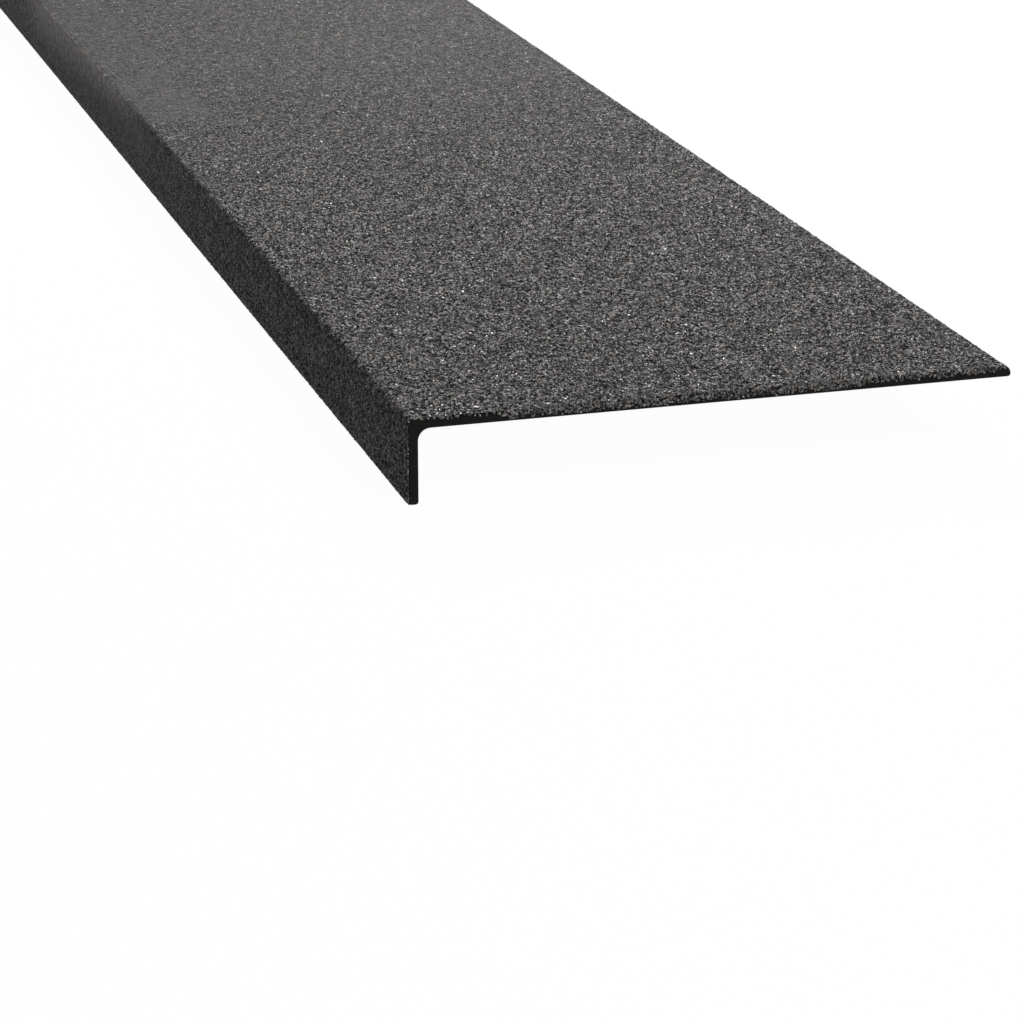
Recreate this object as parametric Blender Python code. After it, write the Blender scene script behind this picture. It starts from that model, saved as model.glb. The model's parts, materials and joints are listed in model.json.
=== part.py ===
"""Anti-slip cover for a stair tread: one moulded angle with a wide tread plate and a short front lip.

Units are metres. X runs along the length, Y from the lip at the front to the back edge, Z up.
The origin is the middle of the underside of the tread plate, which beds on the step.
"""

import math

import bmesh
import bpy

# Driving sizes of the section
LENGTH = 1.000
WIDTH = 0.2295
DROP = 0.0316
TREAD_WALL = 0.0035
LIP_WALL = 0.0035

# Rounds of the section
INNER_FILLET = 0.0046
NOSE_RADIUS = 0.0027
TOE_ROUND = 0.0011
BACK_TOP_ROUND = 0.0022
BACK_LOW_ROUND = 0.0010

# Saw-cut ends, with their sharp edges rubbed down
END_EDGE_BREAK = 0.0003

# A round takes at most this much of the wall that carries it
LARGEST_TOE_SHARE = 0.45
LARGEST_BACK_TOP_SHARE = 0.64
LARGEST_BACK_LOW_SHARE = 0.30

# Facets in a quarter turn
NOSE_FACETS = 10
FILLET_FACETS = 12
BACK_TOP_FACETS = 8
EDGE_FACETS = 5

# Angle above which two faces meet at a sharp edge
SHARP_ANGLE = math.radians(35)

# Finish: near-black moulded resin under a grey mineral grit
RESIN_COLOUR = (0.085, 0.082, 0.080, 1.0)
RESIN_ROUGHNESS = 0.85

# Places that follow from the sizes
LIP_INSIDE_Y = -(WIDTH - LIP_WALL) / 2
FRONT_Y = LIP_INSIDE_Y - LIP_WALL
BACK_Y = FRONT_Y + WIDTH
TOP_Z = TREAD_WALL
TOE_Z = TREAD_WALL - DROP


def clear_scene():
    """Removes whatever objects the file opened with."""
    for thing in list(bpy.data.objects):
        bpy.data.objects.remove(thing, do_unlink=True)


def arc(centre, radius, start, end, facets):
    """Returns the points of an arc in the YZ plane, from start to end in degrees, both ends included."""
    points = []
    for step in range(facets + 1):
        angle = math.radians(start + (end - start) * step / facets)
        points.append((centre[0] + radius * math.cos(angle), centre[1] + radius * math.sin(angle)))
    return points


def section_outline():
    """Returns the closed outline of the angle as (y, z) points, anticlockwise as seen from +X."""
    back_top = min(BACK_TOP_ROUND, TREAD_WALL * LARGEST_BACK_TOP_SHARE)
    back_low = min(BACK_LOW_ROUND, TREAD_WALL * LARGEST_BACK_LOW_SHARE)
    toe = min(TOE_ROUND, LIP_WALL * LARGEST_TOE_SHARE)

    outline = []
    outline += arc((BACK_Y - back_low, back_low), back_low, -90, 0, EDGE_FACETS)
    outline += arc((BACK_Y - back_top, TOP_Z - back_top), back_top, 0, 90, BACK_TOP_FACETS)
    outline += arc((FRONT_Y + NOSE_RADIUS, TOP_Z - NOSE_RADIUS), NOSE_RADIUS, 90, 180, NOSE_FACETS)
    outline += arc((FRONT_Y + toe, TOE_Z + toe), toe, 180, 270, EDGE_FACETS)
    outline += arc((LIP_INSIDE_Y - toe, TOE_Z + toe), toe, 270, 360, EDGE_FACETS)
    outline += arc((LIP_INSIDE_Y + INNER_FILLET, -INNER_FILLET), INNER_FILLET, 180, 90, FILLET_FACETS)
    return outline


def break_end_edges(mesh):
    """Bevels the outline of both cut ends, which are the only faces that look along X."""
    ends = [face for face in mesh.faces if abs(face.normal.x) > 0.9]
    edges = {edge for face in ends for edge in face.edges}
    bmesh.ops.bevel(
        mesh,
        geom=list(edges),
        offset=END_EDGE_BREAK,
        offset_type="OFFSET",
        segments=1,
        affect="EDGES",
        clamp_overlap=True,
    )


def extruded_angle():
    """Returns a mesh of the section drawn out along X, centred on the origin's plane."""
    mesh = bmesh.new()
    corners = [mesh.verts.new((-LENGTH / 2, y, z)) for y, z in section_outline()]
    profile = mesh.faces.new(corners)
    drawn = bmesh.ops.extrude_face_region(mesh, geom=[profile])
    moved = [item for item in drawn["geom"] if isinstance(item, bmesh.types.BMVert)]
    bmesh.ops.translate(mesh, verts=moved, vec=(LENGTH, 0.0, 0.0))
    bmesh.ops.recalc_face_normals(mesh, faces=mesh.faces)
    break_end_edges(mesh)

    data = bpy.data.meshes.new("tread_strip")
    mesh.to_mesh(data)
    mesh.free()
    return data


def gritted_resin():
    """Returns the material of the moulding."""
    material = bpy.data.materials.new("gritted_resin")
    material.use_nodes = True
    shader = material.node_tree.nodes["Principled BSDF"]
    shader.inputs["Base Color"].default_value = RESIN_COLOUR
    shader.inputs["Roughness"].default_value = RESIN_ROUGHNESS
    shader.inputs["Metallic"].default_value = 0.0
    return material


def build_tread_strip():
    """Makes the moulding as one object."""
    data = extruded_angle()
    data.materials.append(gritted_resin())
    data.shade_smooth()
    data.set_sharp_from_angle(angle=SHARP_ANGLE)
    strip = bpy.data.objects.new("tread_strip", data)
    bpy.context.scene.collection.objects.link(strip)
    return strip


clear_scene()
build_tread_strip()
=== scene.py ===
"""Looks of a gritted cover for a stair tread, built over its packed moulding.

The moulding stays as it is and gets its dark resin finish. A coat of mineral grit is laid over its
plate, its two long edges and its lip as closed meshes with real relief. Broken grains cling to its
cut ends, and a few broad and bright ones stand at the near corner.
"""

import json
import logging
import math
import random
from dataclasses import dataclass, field
from enum import Enum

import bpy
import numpy as np
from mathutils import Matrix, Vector

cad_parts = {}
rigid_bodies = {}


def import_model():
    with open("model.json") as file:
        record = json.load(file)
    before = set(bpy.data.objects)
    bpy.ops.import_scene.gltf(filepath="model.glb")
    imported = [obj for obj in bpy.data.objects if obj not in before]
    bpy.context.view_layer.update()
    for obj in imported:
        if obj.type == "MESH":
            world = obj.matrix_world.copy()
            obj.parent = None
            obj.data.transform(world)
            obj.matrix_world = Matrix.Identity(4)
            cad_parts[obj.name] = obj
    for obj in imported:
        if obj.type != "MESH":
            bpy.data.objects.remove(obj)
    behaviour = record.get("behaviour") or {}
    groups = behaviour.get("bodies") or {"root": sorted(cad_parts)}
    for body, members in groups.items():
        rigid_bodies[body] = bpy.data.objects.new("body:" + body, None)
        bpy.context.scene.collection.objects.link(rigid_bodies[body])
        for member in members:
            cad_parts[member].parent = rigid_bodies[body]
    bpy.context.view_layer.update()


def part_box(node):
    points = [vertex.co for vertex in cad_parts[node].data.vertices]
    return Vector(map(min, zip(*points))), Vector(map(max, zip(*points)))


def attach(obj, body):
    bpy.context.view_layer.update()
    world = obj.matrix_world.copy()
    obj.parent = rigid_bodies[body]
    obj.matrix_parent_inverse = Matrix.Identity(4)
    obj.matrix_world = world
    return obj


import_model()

LOG = logging.getLogger("tread_strip")

NODE = "tread_strip"
BODY = "root"
BAKE_MAP = "OFBake"

# What the coat's meshes carry at their vertices: how smooth, how pale and how high the grit is
WORN = "worn"
PALE = "pale"
STRENGTH = "strength"

# The part of a mottle mask over which a finish goes from its dark tone to its light one
MOTTLE_SPAN = (0.38, 0.62)

Colour = tuple[float, float, float, float]
Spots = tuple[tuple[float, float, float], ...]
Socket = bpy.types.NodeSocket
Tree = bpy.types.NodeTree


class Zone(Enum):
    """The stretches of the moulding's outside that carry grit."""

    PLATE = "plate"
    LIP = "lip"
    NOSE = "nose"
    BACK = "back"


class End(Enum):
    """The two cut ends, by the way that they face along the strip."""

    NEAR = 1.0
    FAR = -1.0


# Number and mesh tools


def rise(values: np.ndarray, start: float, end: float) -> np.ndarray:
    """Returns a soft step: 0 up to start, 1 from end on, also where end is the lower one."""
    share = np.clip((values - start) / (end - start), 0.0, 1.0)
    return share * share * (3.0 - 2.0 * share)


def deselect_all() -> None:
    """Deselects every object."""
    bpy.ops.object.select_all(action="DESELECT")


def make_active(piece: bpy.types.Object) -> None:
    """Makes piece the only selected object, and the active one.

    Args:
        piece: The object that the next operators work on.
    """
    deselect_all()
    piece.select_set(True)
    bpy.context.view_layer.objects.active = piece


def places_of(mesh: bpy.types.Mesh) -> np.ndarray:
    """Reads a mesh's vertices.

    Args:
        mesh: The mesh to read.

    Returns:
        An array of one row of x, y and z a vertex.
    """
    places = np.empty(len(mesh.vertices) * 3, np.float32)
    mesh.vertices.foreach_get("co", places)
    return places.reshape(-1, 3)


def face_centres(mesh: bpy.types.Mesh) -> np.ndarray:
    """Reads the centres of a mesh's faces.

    Args:
        mesh: The mesh to read.

    Returns:
        An array of one row of x, y and z a face.
    """
    centres = np.empty(len(mesh.polygons) * 3, np.float32)
    mesh.polygons.foreach_get("center", centres)
    return centres.reshape(-1, 3)


def edit_with(piece: bpy.types.Object, kind: str, chosen: np.ndarray) -> None:
    """Leaves piece in edit mode with only the chosen vertices, edges or faces selected.

    Args:
        piece: The object to edit, which becomes the active one.
        kind: VERT, EDGE or FACE.
        chosen: One truth value an element.
    """
    make_active(piece)
    bpy.ops.object.mode_set(mode="EDIT")
    bpy.ops.mesh.select_mode(type=kind)
    bpy.ops.mesh.select_all(action="DESELECT")
    bpy.ops.object.mode_set(mode="OBJECT")
    mesh = piece.data
    elements = {"VERT": mesh.vertices, "EDGE": mesh.edges, "FACE": mesh.polygons}[kind]
    elements.foreach_set("select", chosen)
    bpy.ops.object.mode_set(mode="EDIT")


def join_grains(
    grains: list[bpy.types.Object], name: str, material: bpy.types.Material
) -> bpy.types.Object:
    """Joins single grains into one piece, dressed and riding on the strip.

    Args:
        grains: The grains, each with its own mesh.
        name: The piece's name.
        material: What they are made of.

    Returns:
        The piece.
    """
    deselect_all()
    for grain in grains:
        grain.select_set(True)
    bpy.context.view_layer.objects.active = grains[0]
    bpy.ops.object.join()
    bpy.ops.object.transform_apply(location=True, rotation=True, scale=True)
    piece = bpy.context.object
    piece.name = piece.data.name = name
    piece.data.materials.clear()
    piece.data.materials.append(material)
    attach(piece, BODY)
    LOG.info("%s: %d faces", piece.name, len(piece.data.polygons))
    return piece


# Material tools


def grey(level: float, warmth: float = 1.0) -> Colour:
    """Returns the grey of a level, with a little more red and a little less blue in it."""
    return level * (1.0 + 0.045 * warmth), level, level * (1.0 - 0.018 * warmth), 1.0


def new_material(name: str) -> tuple[bpy.types.Material, Tree, bpy.types.Node]:
    """Starts a material.

    Args:
        name: The material's name.

    Returns:
        The material, its tree and its shader.
    """
    material = bpy.data.materials.new(name)
    material.use_nodes = True
    return material, material.node_tree, material.node_tree.nodes["Principled BSDF"]


def object_place(tree: Tree) -> Socket:
    """Returns a point's place on the strip, as Object coordinates."""
    return tree.nodes.new("ShaderNodeTexCoord").outputs["Object"]


def axes_of(tree: Tree, place: Socket) -> bpy.types.Node:
    """Returns a node whose outputs are a place's X, Y and Z."""
    node = tree.nodes.new("ShaderNodeSeparateXYZ")
    join(tree, place, node.inputs[0])
    return node


def join(tree: Tree, source: Socket | float | Colour, target: Socket) -> None:
    """Feeds a socket from another one, or sets it to a fixed value."""
    if isinstance(source, bpy.types.NodeSocket):
        tree.links.new(source, target)
    else:
        target.default_value = source


def maths(tree: Tree, operation: str, *values: Socket | float, clamp: bool = False) -> Socket:
    """Adds a Math node.

    Args:
        tree: The tree that the node goes into.
        operation: What the node does, such as ADD.
        values: A socket or a number for each of its inputs.
        clamp: Whether the result is held between 0 and 1.

    Returns:
        The node's output.
    """
    node = tree.nodes.new("ShaderNodeMath")
    node.operation = operation
    node.use_clamp = clamp
    for value, target in zip(values, node.inputs):
        join(tree, value, target)
    return node.outputs[0]


def ramp(tree: Tree, value: Socket, stops: tuple[tuple[float, Colour], ...]) -> Socket:
    """Adds a colour ramp.

    Args:
        tree: The tree that the node goes into.
        value: What the ramp reads.
        stops: Places from 0 to 1 with their colours, in order.

    Returns:
        The ramp's colour.
    """
    node = tree.nodes.new("ShaderNodeValToRGB")
    elements = node.color_ramp.elements
    while len(elements) < len(stops):
        elements.new(0.5)
    for element, (position, colour) in zip(elements, stops):
        element.position = position
        element.color = colour
    join(tree, value, node.inputs["Fac"])
    return node.outputs["Color"]


def blend(tree: Tree, way: str, share: Socket | float, first: Socket, second: Socket | Colour) -> Socket:
    """Adds a colour mix.

    Args:
        tree: The tree that the node goes into.
        way: How the colours are blended, such as MULTIPLY.
        share: How much of the second colour is used.
        first: The first colour.
        second: The second colour.

    Returns:
        The mixed colour.
    """
    node = tree.nodes.new("ShaderNodeMix")
    node.data_type = "RGBA"
    node.blend_type = way
    colours = [slot for slot in node.inputs if slot.type == "RGBA"]
    join(tree, share, node.inputs["Factor"])
    join(tree, first, colours[0])
    join(tree, second, colours[1])
    return next(slot for slot in node.outputs if slot.type == "RGBA")


def new_group(name: str, inputs: tuple[str, ...], outputs: tuple[str, ...]) -> tuple[Tree, dict, dict]:
    """Starts a node group.

    Args:
        name: The group's name.
        inputs: Names of its inputs: the first is a place, the others are numbers.
        outputs: Names of its outputs, all numbers.

    Returns:
        The group, its inputs' sockets inside, and its outputs' sockets inside, by name.
    """
    tree = bpy.data.node_groups.new(name, "ShaderNodeTree")
    for index, label in enumerate(inputs):
        kind = "NodeSocketVector" if index == 0 else "NodeSocketFloat"
        tree.interface.new_socket(label, in_out="INPUT", socket_type=kind)
    for label in outputs:
        tree.interface.new_socket(label, in_out="OUTPUT", socket_type="NodeSocketFloat")
    entry = tree.nodes.new("NodeGroupInput")
    leave = tree.nodes.new("NodeGroupOutput")
    return tree, {n: entry.outputs[n] for n in inputs}, {n: leave.inputs[n] for n in outputs}


def mottle_group() -> Tree:
    """Builds the soft blotches that moulded resin and bonded grit both show.

    Returns:
        A group from a place and a blotch size in metres to a mask around 0.5.
    """
    found = bpy.data.node_groups.get("mottle")
    if found is not None:
        return found
    tree, given, made = new_group("mottle", ("Place", "Blotch Size"), ("Mask",))
    noise = tree.nodes.new("ShaderNodeTexNoise")
    noise.inputs["Detail"].default_value = 3.0
    noise.inputs["Roughness"].default_value = 0.6
    join(tree, given["Place"], noise.inputs["Vector"])
    join(tree, maths(tree, "DIVIDE", 1.0, given["Blotch Size"]), noise.inputs["Scale"])
    join(tree, noise.outputs["Fac"], made["Mask"])
    return tree


def grain_group() -> Tree:
    """Builds one size of packed, broken grains, each a flat facet at a tilt of its own.

    Returns:
        A group from a place and a grain size in metres to a random tone and a random tint for each
        grain, how far out from its grain's middle a point is, and the facets' height in metres.
    """
    found = bpy.data.node_groups.get("grains")
    if found is not None:
        return found
    tree, given, made = new_group("grains", ("Place", "Grain Size"), ("Tone", "Tint", "Rim", "Facet"))
    cells = tree.nodes.new("ShaderNodeTexVoronoi")
    cells.feature = "F1"
    join(tree, given["Place"], cells.inputs["Vector"])
    join(tree, maths(tree, "DIVIDE", 1.0, given["Grain Size"]), cells.inputs["Scale"])
    parts = tree.nodes.new("ShaderNodeSeparateColor")
    join(tree, cells.outputs["Color"], parts.inputs["Color"])
    join(tree, parts.outputs["Red"], made["Tone"])
    join(tree, parts.outputs["Green"], made["Tint"])
    join(tree, cells.outputs["Distance"], made["Rim"])

    offset = tree.nodes.new("ShaderNodeVectorMath")
    offset.operation = "SUBTRACT"
    join(tree, given["Place"], offset.inputs[0])
    join(tree, cells.outputs["Position"], offset.inputs[1])
    tilt = tree.nodes.new("ShaderNodeVectorMath")
    tilt.operation = "SUBTRACT"
    join(tree, cells.outputs["Color"], tilt.inputs[0])
    tilt.inputs[1].default_value = (0.5, 0.5, 0.5)
    slope = tree.nodes.new("ShaderNodeVectorMath")
    slope.operation = "DOT_PRODUCT"
    join(tree, offset.outputs[0], slope.inputs[0])
    join(tree, tilt.outputs[0], slope.inputs[1])
    join(tree, slope.outputs["Value"], made["Facet"])
    return tree


def stored(tree: Tree, name: str) -> Socket:
    """Reads a value that the mesh carries at its vertices, which is 0 where it carries none."""
    node = tree.nodes.new("ShaderNodeAttribute")
    node.attribute_name = name
    return node.outputs["Fac"]


def use_group(tree: Tree, group: Tree, place: Socket, size: float) -> bpy.types.Node:
    """Places a pattern group in a material.

    Args:
        tree: The material's tree.
        group: A group whose inputs are a place and a size.
        place: Object coordinates.
        size: The pattern's size in metres.

    Returns:
        The group's node.
    """
    node = tree.nodes.new("ShaderNodeGroup")
    node.node_tree = group
    join(tree, place, node.inputs[0])
    node.inputs[1].default_value = size
    return node


# The moulding and the finishes


@dataclass
class Moulding:
    """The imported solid, with the sizes its box doesn't tell: the rounds are those the grit is laid to."""

    low: Vector
    high: Vector
    wall: float = 0.0035
    nose_radius: float = 0.0019
    back_radius: float = 0.0022

    @property
    def length(self) -> float:
        """Length between the cut ends."""
        return self.high.x - self.low.x

    @property
    def nose_centre(self) -> tuple[float, float]:
        """Centre of the nose's round, as y and z."""
        return self.low.y + self.nose_radius, self.high.z - self.nose_radius

    @property
    def back_centre(self) -> tuple[float, float]:
        """Centre of the round on top of the back edge, as y and z."""
        return self.high.y - self.back_radius, self.high.z - self.back_radius

    def dress(self, finish: "ResinFinish") -> None:
        """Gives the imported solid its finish.

        Args:
            finish: The finish of bare moulded resin.
        """
        material = finish.material()
        for slot in bpy.data.objects[NODE].material_slots:
            slot.link = "OBJECT"
            slot.material = material
        LOG.info("%s dressed in bare resin", NODE)


@dataclass(frozen=True)
class ResinFinish:
    """Bare moulded glass-fibre resin, as on the underside and the cut ends."""

    dark: Colour = grey(0.0055, 0.3)
    light: Colour = grey(0.0100, 0.3)
    roughness: float = 0.6
    specular: float = 0.10
    blotch: float = 0.005
    pore: float = 0.0005
    blotch_weight: float = 0.6
    pore_weight: float = 0.4
    pore_depth: float = 0.00006

    def material(self) -> bpy.types.Material:
        """Builds the finish.

        Returns:
            A near-black, faintly blotched and pored material.
        """
        material, tree, shader = new_material("bare_resin")
        shader.inputs["Roughness"].default_value = self.roughness
        shader.inputs["Specular IOR Level"].default_value = self.specular
        place = object_place(tree)
        blotches = use_group(tree, mottle_group(), place, self.blotch).outputs["Mask"]
        pores = use_group(tree, mottle_group(), place, self.pore).outputs["Mask"]
        tone = maths(tree, "MULTIPLY", blotches, self.blotch_weight)
        tone = maths(tree, "MULTIPLY_ADD", pores, self.pore_weight, tone)
        stops = tuple(zip(MOTTLE_SPAN, (self.dark, self.light)))
        join(tree, ramp(tree, tone, stops), shader.inputs["Base Color"])
        bump = tree.nodes.new("ShaderNodeBump")
        bump.inputs["Distance"].default_value = self.pore_depth
        join(tree, pores, bump.inputs["Height"])
        join(tree, bump.outputs["Normal"], shader.inputs["Normal"])
        return material


@dataclass(frozen=True)
class GritFinish:
    """Mineral grit bedded in dark resin: grey grains darker low down and at their rims, partly the resin
    between them and partly painted shade in the hollows, and a few chips with painted glints.
    """

    # The lowest stops, darker than the bare resin itself, are painted shade in the hollows between grains.
    tones: tuple[tuple[float, Colour], ...] = (
        (0.16, grey(0.0004)),
        (0.32, grey(0.0030)),
        (0.46, grey(0.0170)),
        (0.60, grey(0.094)),
        (0.74, grey(0.420)),
        (0.90, grey(0.860)),
    )
    tints: tuple[tuple[float, Colour], ...] = (
        (0.2, (1.05, 1.0, 0.94, 1.0)),
        (0.8, (0.97, 1.0, 1.05, 1.0)),
    )
    grain: float = 0.00082
    chip: float = 0.00046
    blotch: float = 0.0045
    relief: float = 0.00095
    least_strength: float = 0.1
    # Painted light: the loose grains' tone lift, as if they stood above the coat's highest grains.
    loose_lift_painted_light: float = 1.06
    grain_weight: float = 0.34
    chip_weight: float = 0.28
    low_resin_and_shade_weight: float = 0.35
    rim_resin_and_shade_weight: float = 0.25
    rim_middle: float = 0.55
    clouding: float = 0.25
    middle_tone: float = 0.572
    worn_share: float = 0.80
    pale_tone: float = 0.165
    # Painted highlight: the near-white colour of the glinting chips and grains.
    painted_glint: Colour = grey(0.850, 0.4)
    glint_share: float = 0.020
    glint_loss: float = 1.2
    glint_height: float = 0.35
    broad_power: float = 0.3
    glint_metal: float = 0.24
    glint_roughness: float = 0.36
    roughness: float = 0.62
    specular: float = 0.07
    grain_slope: float = 2.6
    chip_slope: float = 2.4

    def material(self, name: str, form: Moulding | None) -> bpy.types.Material:
        """Builds the finish.

        Args:
            name: The material's name.
            form: The moulding that the grit stands on, or nothing for grains that stand by themselves.

        Returns:
            A speckled grey material, darker between the grains, partly the resin there and partly painted
            shade.
        """
        material, tree, shader = new_material(name)
        shader.inputs["Specular IOR Level"].default_value = self.specular
        place = object_place(tree)
        grains = use_group(tree, grain_group(), place, self.grain).outputs
        chips = use_group(tree, grain_group(), place, self.chip).outputs
        blotches = use_group(tree, mottle_group(), place, self.blotch).outputs["Mask"]
        # Loose grains take a fixed height share, set high to lift their tone: painted light on the cut ends'
        # grains, which the lamps light less than the plate.
        height = self.loose_lift_painted_light if form is None else self.standing_height(tree, place, form)
        worn = maths(tree, "MULTIPLY", stored(tree, WORN), self.worn_share)

        # Tone: a random one for each grain and chip, darker low down and at the rims, evened where the grit
        # is worn. The darkening low down and at the rims is partly the resin bedding and partly painted
        # shade in the hollows between grains.
        within = maths(tree, "SUBTRACT", self.rim_middle, grains["Rim"])
        tone = maths(tree, "MULTIPLY", grains["Tone"], self.grain_weight)
        tone = maths(tree, "MULTIPLY_ADD", chips["Tone"], self.chip_weight, tone)
        tone = maths(tree, "MULTIPLY_ADD", height, self.low_resin_and_shade_weight, tone)
        tone = maths(tree, "MULTIPLY_ADD", within, self.rim_resin_and_shade_weight, tone)
        evener = maths(tree, "SUBTRACT", self.middle_tone, tone)
        tone = maths(tree, "MULTIPLY_ADD", evener, worn, tone)
        cloud = maths(tree, "SUBTRACT", blotches, 0.5)
        tone = maths(tree, "MULTIPLY_ADD", cloud, self.clouding, tone)
        # Paler where rubbed, and along the nose's round as painted highlight.
        tone = maths(tree, "MULTIPLY_ADD", stored(tree, PALE), self.pale_tone, tone)
        colour = blend(
            tree, "MULTIPLY", 1.0, ramp(tree, tone, self.tones), ramp(tree, grains["Tint"], self.tints)
        )

        # Glints: a few chips and fewer whole grains, fewer still where the grit is worn, and only on the
        # plate. Their near-white colour is painted highlight; their metallic, smoother finish is real.
        rarer = maths(tree, "MULTIPLY_ADD", worn, self.glint_loss * self.glint_share, 1.0 - self.glint_share)
        rarest = maths(tree, "POWER", rarer, self.broad_power)
        shine = maths(tree, "GREATER_THAN", chips["Tone"], rarer)
        shine = maths(tree, "MAXIMUM", shine, maths(tree, "GREATER_THAN", grains["Tint"], rarest))
        shine = maths(tree, "MULTIPLY", shine, maths(tree, "GREATER_THAN", height, self.glint_height))
        shine = maths(tree, "MULTIPLY", shine, self.on_plate(tree, place, form))
        join(tree, blend(tree, "MIX", shine, colour, self.painted_glint), shader.inputs["Base Color"])
        join(tree, maths(tree, "MULTIPLY", shine, self.glint_metal), shader.inputs["Metallic"])
        smoother = maths(tree, "MULTIPLY", shine, self.roughness - self.glint_roughness)
        join(tree, maths(tree, "SUBTRACT", self.roughness, smoother), shader.inputs["Roughness"])

        # Facets: each grain and chip tilted its own way, flatter where the grit is worn
        facets = maths(tree, "MULTIPLY", grains["Facet"], self.grain_slope)
        facets = maths(tree, "MULTIPLY_ADD", chips["Facet"], self.chip_slope, facets)
        facets = maths(tree, "MULTIPLY", facets, maths(tree, "SUBTRACT", 1.0, worn))
        bump = tree.nodes.new("ShaderNodeBump")
        bump.inputs["Distance"].default_value = 1.0
        join(tree, facets, bump.inputs["Height"])
        join(tree, bump.outputs["Normal"], shader.inputs["Normal"])
        return material

    def on_plate(self, tree: Tree, place: Socket, form: Moulding | None) -> Socket | float:
        """Works out whether a point is on the walking face, the only one given painted glints, as the face
        turned up to the lamps.

        Args:
            tree: The material's tree.
            place: Object coordinates.
            form: The moulding that the grit stands on, or nothing for grains that stand by themselves.

        Returns:
            1 over the plate and 0 everywhere else.
        """
        if form is None:
            return 0.0
        return maths(tree, "GREATER_THAN", axes_of(tree, place).outputs["Z"], form.high.z)

    def standing_height(self, tree: Tree, place: Socket, form: Moulding) -> Socket:
        """Works out how high a point stands off the moulding's gritted outside.

        Args:
            tree: The material's tree.
            place: Object coordinates.
            form: The moulding, for its top, its front and back and the rounds between them.

        Returns:
            The height over the plate, the nose, the lip or the back edge, as a share of the relief there.
        """
        nose_y, _ = form.nose_centre
        back_y, _ = form.back_centre
        axes = axes_of(tree, place).outputs
        ahead = maths(tree, "MAXIMUM", maths(tree, "SUBTRACT", nose_y, axes["Y"]), 0.0)
        behind = maths(tree, "MAXIMUM", maths(tree, "SUBTRACT", axes["Y"], back_y), 0.0)
        at_back = maths(tree, "GREATER_THAN", behind, 0.0)
        smaller = form.back_radius - form.nose_radius
        radius = maths(tree, "MULTIPLY_ADD", at_back, smaller, form.nose_radius)
        base = maths(tree, "SUBTRACT", form.high.z, radius)
        up = maths(tree, "MAXIMUM", maths(tree, "SUBTRACT", axes["Z"], base), 0.0)
        out = maths(tree, "ADD", ahead, behind)
        squares = maths(tree, "MULTIPLY_ADD", up, up, maths(tree, "MULTIPLY", out, out))
        height = maths(tree, "SUBTRACT", maths(tree, "SQRT", squares), radius)
        strength = maths(tree, "MAXIMUM", stored(tree, STRENGTH), self.least_strength)
        relief = maths(tree, "MULTIPLY", strength, self.relief)
        return maths(tree, "DIVIDE", height, relief, clamp=True)


@dataclass(frozen=True)
class PaleGrainFinish:
    """Broad or bright single grains: plain mineral, faintly blotched."""

    dark: Colour = grey(0.240)
    light: Colour = grey(0.420)
    roughness: float = 0.55
    metal: float = 0.0
    specular: float = 0.3
    blotch: float = 0.0008

    def material(self, name: str) -> bpy.types.Material:
        """Builds the finish.

        Args:
            name: The material's name.

        Returns:
            A plain pale grey material.
        """
        material, tree, shader = new_material(name)
        shader.inputs["Roughness"].default_value = self.roughness
        shader.inputs["Metallic"].default_value = self.metal
        shader.inputs["Specular IOR Level"].default_value = self.specular
        blotches = use_group(tree, mottle_group(), object_place(tree), self.blotch).outputs["Mask"]
        stops = tuple(zip(MOTTLE_SPAN, (self.dark, self.light)))
        join(tree, ramp(tree, blotches, stops), shader.inputs["Base Color"])
        return material


# The grit coat


@dataclass(frozen=True)
class WearAndHighlight:
    """Where the grit is rubbed, and where a highlight is painted along the nose.

    Half smooth towards the far end, smooth beside the far part of the nose, and paler at the nose and
    down the lip there. A faint pale band along the nose's round, the whole length, is painted highlight.
    """

    smooth_from: float = 0.070
    smooth_at: float = 0.000
    smooth_width: tuple[float, float] = (0.032, 0.046)
    lip_share: float = 1.8
    half_worn: float = 0.86
    half_from: float = 0.320
    half_at: float = -0.130
    pale_from: float = 0.030
    pale_at: float = -0.070
    pale_depth: float = 0.012
    pale_growth: float = 0.042
    fade_from: float = -0.280
    fade_at: float = -0.400
    # Painted highlight: a faint pale band along the nose's round, the whole length.
    nose_highlight: float = 0.15

    def smooth(self, places: np.ndarray, form: Moulding) -> np.ndarray:
        """Works out how smooth the grit is worn.

        Args:
            places: One row of x, y and z a vertex of the even sheet.
            form: The moulding.

        Returns:
            One value from 0 to 1 a vertex.
        """
        below = self.lip_share * (form.high.z - places[:, 2])
        path = np.maximum(places[:, 1] - form.low.y, below)
        along = rise(places[:, 0], self.smooth_from, self.smooth_at) * self.lasting(places)
        band = along * (1.0 - rise(path, *self.smooth_width))
        return np.maximum(band, self.half_worn * rise(places[:, 0], self.half_from, self.half_at))

    def pale(self, places: np.ndarray, form: Moulding) -> np.ndarray:
        """Works out how much paler the nose is rubbed, and the lip below it, less with depth, with a faint
        painted highlight along the nose's round added all along.

        Args:
            places: One row of x, y and z a vertex of the even sheet.
            form: The moulding.

        Returns:
            One value from 0 to 1 a vertex.
        """
        nose_y, _ = form.nose_centre
        facing = np.clip((nose_y - places[:, 1]) / form.nose_radius, 0.0, 1.0)
        depth = self.pale_depth + self.pale_growth * np.maximum(-places[:, 0], 0.0)
        share = np.clip(1.0 - (form.high.z - places[:, 2]) / depth, 0.0, 1.0)
        rubbed = facing * share * rise(places[:, 0], self.pale_from, self.pale_at) * self.lasting(places)
        # The second term is the painted highlight along the nose's round.
        return np.maximum(rubbed, 4.0 * self.nose_highlight * facing * (1.0 - facing))

    def lasting(self, places: np.ndarray) -> np.ndarray:
        """Returns 1 up to where the wear starts to fade towards the far end, and less beyond it."""
        return 1.0 - rise(places[:, 0], self.fade_from, self.fade_at)


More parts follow.
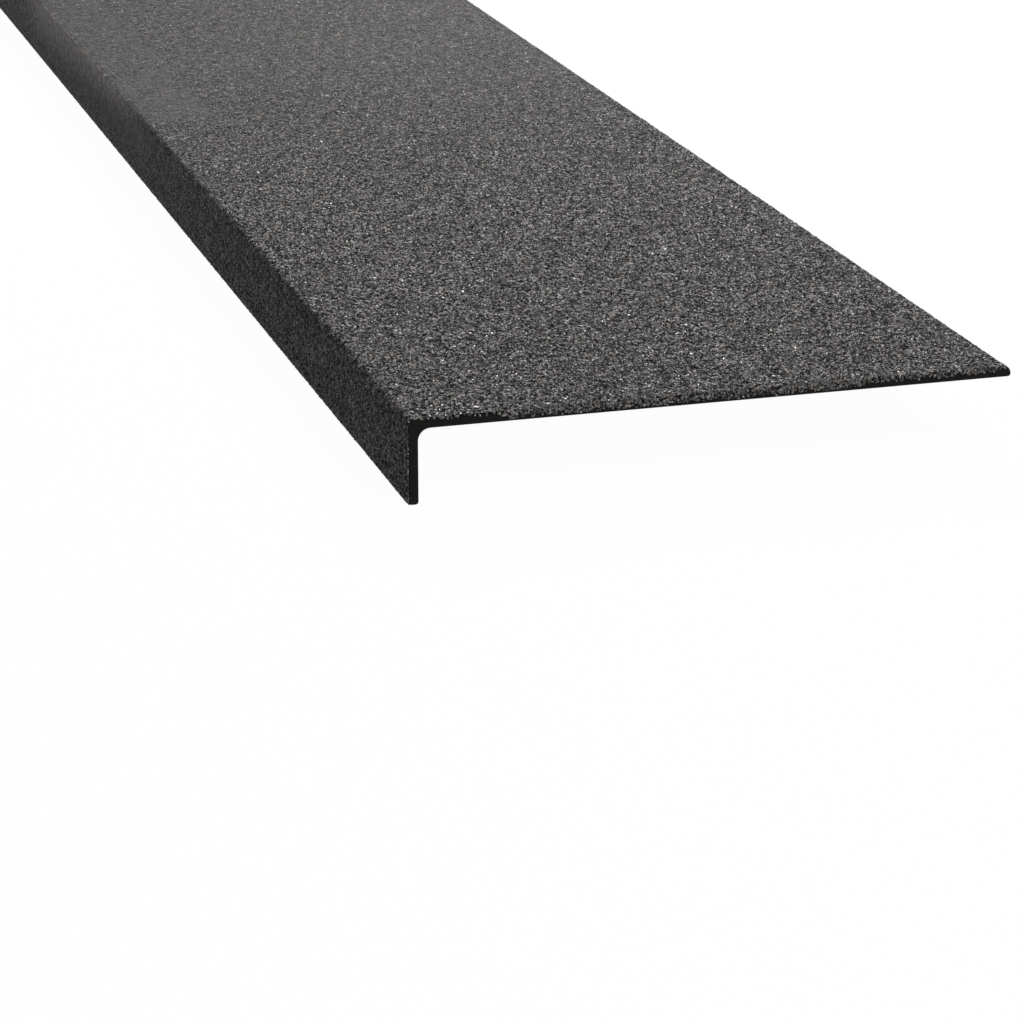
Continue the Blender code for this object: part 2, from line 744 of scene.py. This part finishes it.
@dataclass
class GritCoat:
    """One sheet of grit over the lip, the nose, the plate and its back edge, cut into closed runs."""

    form: Moulding
    finish: GritFinish
    wear_and_highlight: WearAndHighlight
    pitch: float = 0.0008
    jitter: float = 0.00028
    lift: float = 0.00012
    grain_height: float = 0.00070
    grain_cell: float = 0.00093
    swell_height: float = 0.00026
    swell_size: float = 0.0030
    bed_depth: float = 0.0004
    round_bed: float = 3.0
    end_gap: float = 0.0001
    toe_gap: float = 0.0001
    toe_flare: float = 0.00015
    back_turn: float = math.radians(64)
    back_steps: int = 3
    nose_steps: int = 5
    plate_runs: int = 4
    lip_share: float = 0.8
    lip_end_share: float = 0.35
    lip_end_fade: float = 0.0030
    toe_fade: float = 0.0030
    toe_least: float = 0.35
    back_fade: float = 0.0090
    back_least: float = 0.4
    back_from: float = 0.100
    back_at: float = 0.420
    turn_loss: float = 0.7
    worn_least: float = 0.4
    weight_steps: int = 20
    seed: int = 11

    def build(self) -> list[bpy.types.Object]:
        """Builds the coat.

        Returns:
            The runs, dressed and riding on the strip.
        """
        sheet = self.sheet()
        self.mark_runs(sheet)
        self.mark_strength(sheet)
        self.roughen(sheet)
        runs = self.separate_runs(sheet)
        material = self.finish.material("bonded_grit", self.form)
        for run, zone in runs:
            count = len(run.data.vertices)
            self.close(run, zone)
            self.unroll(run, zone, count)
            run.data.materials.clear()
            run.data.materials.append(material)
            make_active(run)
            bpy.ops.object.shade_smooth()
            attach(run, BODY)
            LOG.info("%s: %d faces", run.name, len(run.data.polygons))
        return [run for run, _ in runs]

    def sheet(self) -> bpy.types.Object:
        """Lays the even sheet: a grid over the plate, spun round both long edges and drawn down the lip.

        Returns:
            The sheet, one surface of near-square faces.
        """
        form = self.form
        nose_y, nose_z = form.nose_centre
        back_y, back_z = form.back_centre
        length = form.length - 2 * self.end_gap
        depth = back_y - nose_y
        drop = nose_z - (form.low.z + self.toe_gap)
        deselect_all()
        bpy.ops.mesh.primitive_grid_add(
            x_subdivisions=round(length / self.pitch),
            y_subdivisions=round(depth / self.pitch),
            size=1.0,
        )
        sheet = bpy.context.object
        sheet.name = "grit_sheet"
        bpy.ops.transform.resize(value=(length, depth, 1.0))
        bpy.ops.transform.translate(value=(0.0, nose_y + depth / 2, form.high.z))
        bpy.ops.object.transform_apply(location=True, rotation=True, scale=True)

        edge = back_y - self.pitch / 4
        edit_with(sheet, "VERT", places_of(sheet.data)[:, 1] > edge)
        bpy.ops.mesh.spin(
            steps=self.back_steps,
            angle=self.back_turn,
            center=(0.0, back_y, back_z),
            axis=(1.0, 0.0, 0.0),
        )
        bpy.ops.object.mode_set(mode="OBJECT")
        edge = nose_y + self.pitch / 4
        edit_with(sheet, "VERT", places_of(sheet.data)[:, 1] < edge)
        bpy.ops.mesh.spin(
            steps=self.nose_steps,
            angle=-math.pi / 2,
            center=(0.0, nose_y, nose_z),
            axis=(1.0, 0.0, 0.0),
        )
        # Row by row, because subdividing one tall row numbers its vertices differently in each run
        rows = round(drop / self.pitch)
        bpy.ops.mesh.extrude_repeat(steps=rows, offset=(0.0, -self.toe_flare / rows, -drop / rows))
        bpy.ops.mesh.select_all(action="SELECT")
        bpy.ops.mesh.normals_make_consistent(inside=False)
        bpy.ops.object.mode_set(mode="OBJECT")
        return sheet

    def mark_runs(self, sheet: bpy.types.Object) -> None:
        """Numbers each face: the lip, the nose, the back edge, then the plate's runs from the front.

        Args:
            sheet: The sheet before it is roughened.
        """
        nose_y, nose_z = self.form.nose_centre
        back_y, _ = self.form.back_centre
        centres = face_centres(sheet.data)
        share = (centres[:, 1] - nose_y) / (back_y - nose_y)
        number = 3 + np.floor(share * self.plate_runs).astype(np.int32)
        number[centres[:, 1] > back_y] = 2
        number[centres[:, 1] < nose_y] = 1
        number[centres[:, 2] < nose_z] = 0
        layer = sheet.data.attributes.new("run", "INT", "FACE")
        layer.data.foreach_set("value", number)

    def mark_strength(self, sheet: bpy.types.Object) -> None:
        """Marks where the grit is worn and where it is paler, painted nose highlight included, and weights
        the sheet so that its relief is less where worn and at both long edges.

        Args:
            sheet: The sheet before it is roughened.
        """
        places = places_of(sheet.data)
        smooth = self.wear_and_highlight.smooth(places, self.form)
        for name, values in ((WORN, smooth), (PALE, self.wear_and_highlight.pale(places, self.form))):
            layer = sheet.data.attributes.new(name, "FLOAT", "POINT")
            layer.data.foreach_set("value", values.astype(np.float32))

        back_y, back_z = self.form.back_centre
        near_back = rise(places[:, 1], back_y - self.back_fade, back_y)
        back = 1.0 - (1.0 - self.back_least) * near_back * rise(places[:, 0], self.back_from, self.back_at)
        behind = np.maximum(places[:, 1] - back_y, 0.0)
        turn = np.arctan2(behind, np.maximum(places[:, 2] - back_z, 1e-6))
        back *= 1.0 - self.turn_loss * turn / self.back_turn
        toe_z = self.form.low.z + self.toe_gap
        toe = self.toe_least + (1.0 - self.toe_least) * rise(places[:, 2], toe_z, toe_z + self.toe_fade)
        end_x = self.form.high.x - self.end_gap
        near_end = rise(np.abs(places[:, 0]), end_x - self.lip_end_fade, end_x)
        lip = self.lip_share * (1.0 - (1.0 - self.lip_end_share) * near_end)
        lip = np.where(places[:, 2] < self.form.nose_centre[1], lip, 1.0)
        weight = np.minimum(toe, back) * lip * (1.0 - (1.0 - self.worn_least) * smooth)
        layer = sheet.data.attributes.new(STRENGTH, "FLOAT", "POINT")
        layer.data.foreach_set("value", weight.astype(np.float32))
        steps = np.round(weight * self.weight_steps).astype(int)
        group = sheet.vertex_groups.new(name="relief")
        for step in np.unique(steps):
            group.add(np.nonzero(steps == step)[0].tolist(), step / self.weight_steps, "REPLACE")

    def roughen(self, sheet: bpy.types.Object) -> None:
        """Turns the even sheet into grit: uneven spacing, broad swells and sharp single grains.

        Args:
            sheet: The sheet to roughen.
        """
        toe_z = self.form.low.z + self.toe_gap
        lowest = places_of(sheet.data)[:, 2] < toe_z + self.pitch / 4
        edit_with(sheet, "VERT", np.ones(len(lowest), bool))
        bpy.ops.transform.vertex_random(offset=self.jitter, seed=self.seed)
        bpy.ops.object.mode_set(mode="OBJECT")
        edit_with(sheet, "VERT", lowest)
        bpy.ops.transform.resize(value=(1.0, 1.0, 0.0), center_override=(0.0, 0.0, toe_z))
        bpy.ops.object.mode_set(mode="OBJECT")

        swell = bpy.data.textures.new("grit_swell", "CLOUDS")
        swell.noise_scale = self.swell_size
        swell.noise_depth = 1
        grain = bpy.data.textures.new("grit_grain", "CLOUDS")
        grain.noise_basis = "CELL_NOISE"
        grain.noise_scale = self.grain_cell
        grain.noise_depth = 0
        for texture, height, level in (
            (swell, self.swell_height, 0.0),
            (grain, self.grain_height, -self.lift / self.grain_height),
        ):
            lifted = sheet.modifiers.new(texture.name, "DISPLACE")
            lifted.texture = texture
            lifted.texture_coords = "LOCAL"
            lifted.direction = "NORMAL"
            lifted.vertex_group = "relief"
            lifted.strength = height
            lifted.mid_level = level
            bpy.ops.object.modifier_apply(modifier=lifted.name)

        split = sheet.modifiers.new("facets", "TRIANGULATE")
        split.quad_method = "SHORTEST_DIAGONAL"
        bpy.ops.object.modifier_apply(modifier=split.name)

    def separate_runs(self, sheet: bpy.types.Object) -> list[tuple[bpy.types.Object, Zone]]:
        """Cuts the sheet along its face numbers.

        Args:
            sheet: The roughened sheet.

        Returns:
            Each run with its zone.
        """
        names = [("grit_lip", Zone.LIP), ("grit_nose", Zone.NOSE), ("grit_back_edge", Zone.BACK)]
        names += [(f"grit_plate_{index + 1}", Zone.PLATE) for index in range(self.plate_runs)]
        runs = []
        for number, (name, zone) in enumerate(names[:-1]):
            numbers = np.empty(len(sheet.data.polygons), np.int32)
            sheet.data.attributes["run"].data.foreach_get("value", numbers)
            known = set(bpy.data.objects)
            edit_with(sheet, "FACE", numbers == number)
            bpy.ops.mesh.separate(type="SELECTED")
            bpy.ops.object.mode_set(mode="OBJECT")
            run = next(piece for piece in bpy.data.objects if piece not in known)
            run.name = run.data.name = name
            runs.append((run, zone))
        sheet.name = sheet.data.name = names[-1][0]
        runs.append((sheet, names[-1][1]))
        return runs

    def close(self, run: bpy.types.Object, zone: Zone) -> None:
        """Turns a run into a closed body whose back lies in the moulding.

        Args:
            run: An open run of the sheet.
            zone: Which way the run faces.
        """
        form = self.form
        make_active(run)
        bpy.ops.object.mode_set(mode="EDIT")
        bpy.ops.mesh.select_mode(type="EDGE")
        bpy.ops.mesh.select_all(action="DESELECT")
        bpy.ops.mesh.select_non_manifold(
            extend=False,
            use_wire=False,
            use_boundary=True,
            use_multi_face=False,
            use_non_contiguous=False,
            use_verts=False,
        )
        bpy.ops.mesh.mark_sharp()
        bpy.ops.mesh.extrude_region_move()
        if zone is Zone.PLATE:
            scale = (1.0, 1.0, 0.0)
            centre = (0.0, 0.0, form.high.z - self.bed_depth)
        elif zone is Zone.LIP:
            scale = (1.0, 0.0, 1.0)
            centre = (0.0, form.low.y + self.bed_depth, 0.0)
        else:
            nose = zone is Zone.NOSE
            radius = form.nose_radius if nose else form.back_radius
            inward = 1.0 - self.round_bed * self.bed_depth / radius
            scale = (1.0, inward, inward)
            centre = (0.0, *(form.nose_centre if nose else form.back_centre))
        bpy.ops.transform.resize(value=scale, center_override=centre)
        bpy.ops.mesh.edge_face_add()
        bpy.ops.mesh.select_mode(type="FACE")
        bpy.ops.mesh.select_all(action="SELECT")
        bpy.ops.mesh.quads_convert_to_tris(quad_method="SHORTEST_DIAGONAL", ngon_method="CLIP")
        bpy.ops.mesh.normals_make_consistent(inside=False)
        bpy.ops.object.mode_set(mode="OBJECT")

    def unroll(self, run: bpy.types.Object, zone: Zone, grit_vertices: int) -> None:
        """Lays a run out flat, cut across into lengths that lie side by side and fill the map.

        Args:
            run: A closed run.
            zone: Which way the run faces.
            grit_vertices: How many of its vertices, the first ones, belong to the grit itself.
        """
        form = self.form
        mesh = run.data
        places = places_of(mesh)
        corners = np.empty(len(mesh.loops), np.int32)
        mesh.loops.foreach_get("vertex_index", corners)
        starts = np.empty(len(mesh.polygons), np.int32)
        totals = np.empty(len(mesh.polygons), np.int32)
        mesh.polygons.foreach_get("loop_start", starts)
        mesh.polygons.foreach_get("loop_total", totals)
        face_of = np.repeat(np.arange(len(totals)), totals)

        along = places[:, 0]
        if zone is Zone.PLATE:
            across = places[:, 1]
        elif zone is Zone.LIP:
            across = -places[:, 2]
        elif zone is Zone.NOSE:
            centre_y, centre_z = form.nose_centre
            across = np.arctan2(centre_y - places[:, 1], places[:, 2] - centre_z) * form.nose_radius
        else:
            centre_y, centre_z = form.back_centre
            across = np.arctan2(places[:, 1] - centre_y, places[:, 2] - centre_z) * form.back_radius

        grit = (corners < grit_vertices).astype(np.int32)
        kept = np.add.reduceat(grit, starts)
        front, hidden = kept == totals, kept == 0

        span = np.ptp(across[:grit_vertices])
        lengths = max(1, round(math.sqrt(form.length / span)))
        step = form.length / lengths
        centres = face_centres(mesh)[:, 0]
        number = np.clip(np.floor((centres - form.low.x) / step), 0, lengths - 1)[face_of]
        # Up the map: the grit in most of it, then a narrow strip for the backs and one for the skirts
        margin, grit_share = 0.01, 0.96
        back_low, back_share = 0.966, 0.012
        skirt_low, skirt_share = 0.984, 0.014
        u = (along[corners] - form.low.x) / step - number
        u = margin + u * (1 - 2 * margin)
        part = (across[corners] - across[:grit_vertices].min()) / span
        v = (number + margin + part * (1 - 2 * margin)) / lengths * grit_share

        whole = margin + (along[corners] - form.low.x) / form.length * (1 - 2 * margin)
        backs = hidden[face_of]
        skirts = ~(front | hidden)[face_of]
        deep = (corners >= grit_vertices).astype(float)
        u[backs | skirts] = whole[backs | skirts]
        v[backs] = back_low + back_share * np.clip(part[backs], 0.0, 1.0)
        v[skirts] = skirt_low + skirt_share * deep[skirts]

        layer = mesh.uv_layers.new(name=BAKE_MAP)
        layer.data.foreach_set("uv", np.stack([u, v], 1).astype(np.float32).ravel())


# Grains at the cut ends


@dataclass
class EndGrains:
    """Broken grains that hang over the top arris of a cut end and cling to its upper part."""

    form: Moulding
    finish: GritFinish
    end: End
    size: float = 0.00094
    sizes: tuple[float, float] = (0.6, 1.25)
    stretch: tuple[float, float] = (0.75, 1.25)
    proud: tuple[float, float] = (-0.05, 0.35)
    raggedness: float = 0.16
    lowest: float = 0.0006
    above: float = 0.0009
    uneven: float = 0.00022
    least_chance: float = 0.35
    full_depth: float = 0.0025
    count: int = 2000
    variants: int = 6
    seed: int = 5
    reach: tuple[tuple[float, float], ...] = (
        (-0.1145, 0.0036),
        (-0.1062, 0.0031),
        (-0.0962, 0.0033),
        (-0.0880, 0.0032),
        (-0.0830, 0.0024),
        (-0.0800, 0.0010),
        (0.0480, 0.0010),
        (0.0560, 0.0019),
        (0.0950, 0.0021),
        (0.1058, 0.0026),
        (0.1106, 0.0028),
    )

    def build(self) -> bpy.types.Object:
        """Builds the grains of one end.

        Returns:
            One object of many closed grains, dressed and riding on the strip.
        """
        chooser = random.Random(self.seed + int(self.end.value))
        patterns = [self.pattern(index) for index in range(self.variants)]
        grains = [self.place(chooser, chooser.choice(patterns)) for _ in range(self.count)]
        for pattern in patterns:
            bpy.data.objects.remove(pattern, do_unlink=True)
        side = self.end.name.lower()
        return join_grains(grains, f"grit_end_{side}", self.finish.material(f"loose_grit_{side}", None))

    def pattern(self, index: int) -> bpy.types.Object:
        """Models one broken grain.

        Args:
            index: Which of the shapes to make.

        Returns:
            A small closed lump about one unit across.
        """
        deselect_all()
        bpy.ops.mesh.primitive_ico_sphere_add(subdivisions=1, radius=0.5)
        grain = bpy.context.object
        bpy.ops.object.mode_set(mode="EDIT")
        bpy.ops.mesh.select_all(action="SELECT")
        bpy.ops.transform.vertex_random(offset=self.raggedness, seed=self.seed * 10 + index)
        bpy.ops.object.mode_set(mode="OBJECT")
        return grain

    def place(self, chooser: random.Random, pattern: bpy.types.Object) -> bpy.types.Object:
        """Sets one grain on the end face.

        Args:
            chooser: The source of the grain's place, turn and size.
            pattern: The grain to copy.

        Returns:
            The copy, with its own mesh.
        """
        form = self.form
        low, high = self.reach[0][0], self.reach[-1][0]
        while True:
            y = chooser.uniform(low, high)
            floor = np.interp(y, *zip(*self.reach)) + chooser.gauss(0.0, self.uneven)
            z = chooser.uniform(self.lowest, form.wall + self.above)
            chance = self.least_chance + (z - floor) / self.full_depth
            if z >= floor and chooser.random() < chance:
                break
        size = self.size * chooser.uniform(*self.sizes)
        grain = pattern.copy()
        grain.data = pattern.data.copy()
        proud = chooser.uniform(*self.proud) * size
        grain.location = (self.end.value * (form.high.x + proud), y, z)
        grain.rotation_euler = [chooser.uniform(0.0, math.tau) for _ in range(3)]
        grain.scale = [size * chooser.uniform(*self.stretch) for _ in range(3)]
        bpy.context.scene.collection.objects.link(grain)
        return grain


@dataclass
class BroadGrains:
    """A few broad flat grains and bright chips that stand out of the coat at the near corner. The chips are
    pale mineral whose near-white, part-metallic finish is painted highlight for the glints at the near end's
    top arris.
    """

    form: Moulding
    broad: Spots = (
        (0.4939, -0.1136, 0.0019),
        (0.4912, -0.1109, 0.0016),
        (0.4963, -0.1099, 0.0018),
        (0.4871, -0.1032, 0.0017),
        (0.4974, -0.1128, 0.0013),
    )
    bright: Spots = (
        (0.4941, -0.0908, 0.0011),
        (0.4946, -0.0899, 0.0009),
        (0.4936, -0.0901, 0.0009),
        (0.4798, -0.0907, 0.0008),
        (0.4887, -0.1012, 0.0009),
        (0.4999, -0.1087, 0.0009),
        (0.5000, -0.1053, 0.0008),
        (0.4998, -0.1012, 0.0010),
        (0.4998, -0.0975, 0.0008),
        (0.5000, -0.0948, 0.0008),
        (0.4999, -0.0884, 0.0009),
        (0.5001, -0.0866, 0.0008),
    )
    flatness: float = 0.5
    widths: tuple[float, float] = (0.7, 1.0)
    raggedness: float = 0.06
    standing: float = 0.00092
    seed: int = 3

    def build(self) -> list[bpy.types.Object]:
        """Builds both kinds.

        Returns:
            One object of the broad grains and one of the bright chips, riding on the strip.
        """
        pale = PaleGrainFinish()
        # Painted highlight: the bright chips' near-white, part-metallic finish stands in for glints.
        painted_glint_finish = PaleGrainFinish(grey(0.62, 0.4), grey(0.86, 0.4), roughness=0.35, metal=0.35)
        return [
            self.build_kind("grit_broad", self.broad, pale),
            self.build_kind("grit_bright", self.bright, painted_glint_finish),
        ]

    def build_kind(self, name: str, spots: Spots, finish: PaleGrainFinish) -> bpy.types.Object:
        """Builds the grains of one kind as one object.

        Args:
            name: The object's name.
            spots: The x, y and size of each grain.
            finish: What they are made of.

        Returns:
            The object.
        """
        chooser = random.Random(self.seed)
        height = self.form.high.z + self.standing
        grains = []
        for x, y, size in spots:
            deselect_all()
            bpy.ops.mesh.primitive_ico_sphere_add(subdivisions=2, radius=size / 2, location=(x, y, height))
            grain = bpy.context.object
            bpy.ops.object.mode_set(mode="EDIT")
            bpy.ops.mesh.select_all(action="SELECT")
            bpy.ops.transform.vertex_random(offset=size * self.raggedness, seed=chooser.randrange(1000))
            bpy.ops.object.mode_set(mode="OBJECT")
            grain.rotation_euler.z = chooser.uniform(0.0, math.tau)
            grain.scale = (1.0, chooser.uniform(*self.widths), self.flatness)
            grains.append(grain)
        return join_grains(grains, name, finish.material(name))


# The studio


@dataclass
class Studio:
    """A pale floor under the strip, soft lamps and the camera at the photograph's place."""

    form: Moulding
    camera_place: Vector = field(default_factory=lambda: Vector((1.65682, -0.41951, 0.38348)))
    turn: float = math.radians(16.420)
    pitch: float = math.radians(19.103)
    lens: float = 125.57
    sensor: float = 36.0
    floor_side: float = 14.0
    floor_shade: float = 0.42
    floor_glow: float = 0.92
    glow_level: float = 1.06
    sky: float = 0.155
    key_place: Vector = field(default_factory=lambda: Vector((2.20, 0.90, 1.90)))
    key_size: float = 0.9
    key_power: float = 33.6
    rim_place: Vector = field(default_factory=lambda: Vector((-1.20, 0.50, 0.90)))
    rim_size: float = 0.5
    rim_power: float = 17.5

    def build(self) -> None:
        """Builds the floor, the sky, the lamps and the camera."""
        self.build_floor()
        self.build_sky()
        self.build_lamp("key", self.key_place, self.key_size, self.key_power)
        self.build_lamp("rim", self.rim_place, self.rim_size, self.rim_power)
        self.build_camera()

    def seen_share(self, tree: Tree) -> Socket:
        """Returns 1 for what the camera and glossy surfaces see, and 0 for light on its way."""
        rays = tree.nodes.new("ShaderNodeLightPath")
        return maths(tree, "MAXIMUM", rays.outputs["Is Camera Ray"], rays.outputs["Is Glossy Ray"])

    def build_floor(self) -> None:
        """Lays the floor under the toe of the lip, white to the camera but still shaded by the strip."""
        deselect_all()
        bpy.ops.mesh.primitive_plane_add(size=self.floor_side, location=(0.0, 0.0, self.form.low.z))
        floor = bpy.context.object
        floor.name = "floor"
        material, tree, shader = new_material("pale_floor")
        tree.nodes.remove(shader)
        matt = tree.nodes.new("ShaderNodeBsdfDiffuse")
        matt.inputs["Color"].default_value = grey(self.floor_shade, 0.0)
        glow = tree.nodes.new("ShaderNodeEmission")
        glow.inputs["Strength"].default_value = self.glow_level
        mix = tree.nodes.new("ShaderNodeMixShader")
        join(tree, maths(tree, "MULTIPLY", self.seen_share(tree), self.floor_glow), mix.inputs["Fac"])
        join(tree, matt.outputs[0], mix.inputs[1])
        join(tree, glow.outputs[0], mix.inputs[2])
        join(tree, mix.outputs[0], tree.nodes["Material Output"].inputs["Surface"])
        floor.data.materials.append(material)

    def build_sky(self) -> None:
        """Sets an even sky that lights softly and shows white."""
        world = bpy.data.worlds.new("studio")
        world.use_nodes = True
        tree = world.node_tree
        backdrop = tree.nodes["Background"]
        backdrop.inputs["Color"].default_value = (1.0, 1.0, 1.0, 1.0)
        strength = maths(tree, "MULTIPLY_ADD", self.seen_share(tree), 1.0 - self.sky, self.sky)
        join(tree, strength, backdrop.inputs["Strength"])
        bpy.context.scene.world = world

    def build_lamp(self, name: str, place: Vector, size: float, power: float) -> None:
        """Hangs a square lamp that faces the middle of the strip.

        Args:
            name: The lamp's name.
            place: Where it hangs.
            size: The side of its square.
            power: Its power in watts.
        """
        deselect_all()
        bpy.ops.object.light_add(type="AREA", location=place)
        lamp = bpy.context.object
        lamp.name = name
        lamp.data.shape = "SQUARE"
        lamp.data.size = size
        lamp.data.energy = power
        lamp.rotation_euler = (-place).to_track_quat("-Z", "Y").to_euler()

    def build_camera(self) -> None:
        """Places the camera where the photograph was taken from."""
        deselect_all()
        bpy.ops.object.camera_add(location=self.camera_place)
        camera = bpy.context.object
        camera.data.lens = self.lens
        camera.data.sensor_width = self.sensor
        level = math.cos(self.pitch)
        ahead = Vector((-math.cos(self.turn) * level, math.sin(self.turn) * level, -math.sin(self.pitch)))
        camera.rotation_euler = ahead.to_track_quat("-Z", "Y").to_euler()
        bpy.context.scene.camera = camera


def main() -> None:
    """Builds the strip's looks and the studio, in order."""
    logging.basicConfig(level=logging.INFO, format="%(name)s: %(message)s")
    low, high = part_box(NODE)
    form = Moulding(low, high)
    form.dress(ResinFinish())
    finish = GritFinish()
    GritCoat(form, finish, WearAndHighlight()).build()
    EndGrains(form, finish, End.NEAR).build()
    # The far end's loose grains get less of that painted light than the near end's.
    darker = GritFinish(loose_lift_painted_light=0.86)
    EndGrains(form, darker, End.FAR).build()
    BroadGrains(form).build()
    Studio(form).build()
    bpy.context.scene.view_settings.view_transform = "Standard"


if __name__ == "__main__":
    main()
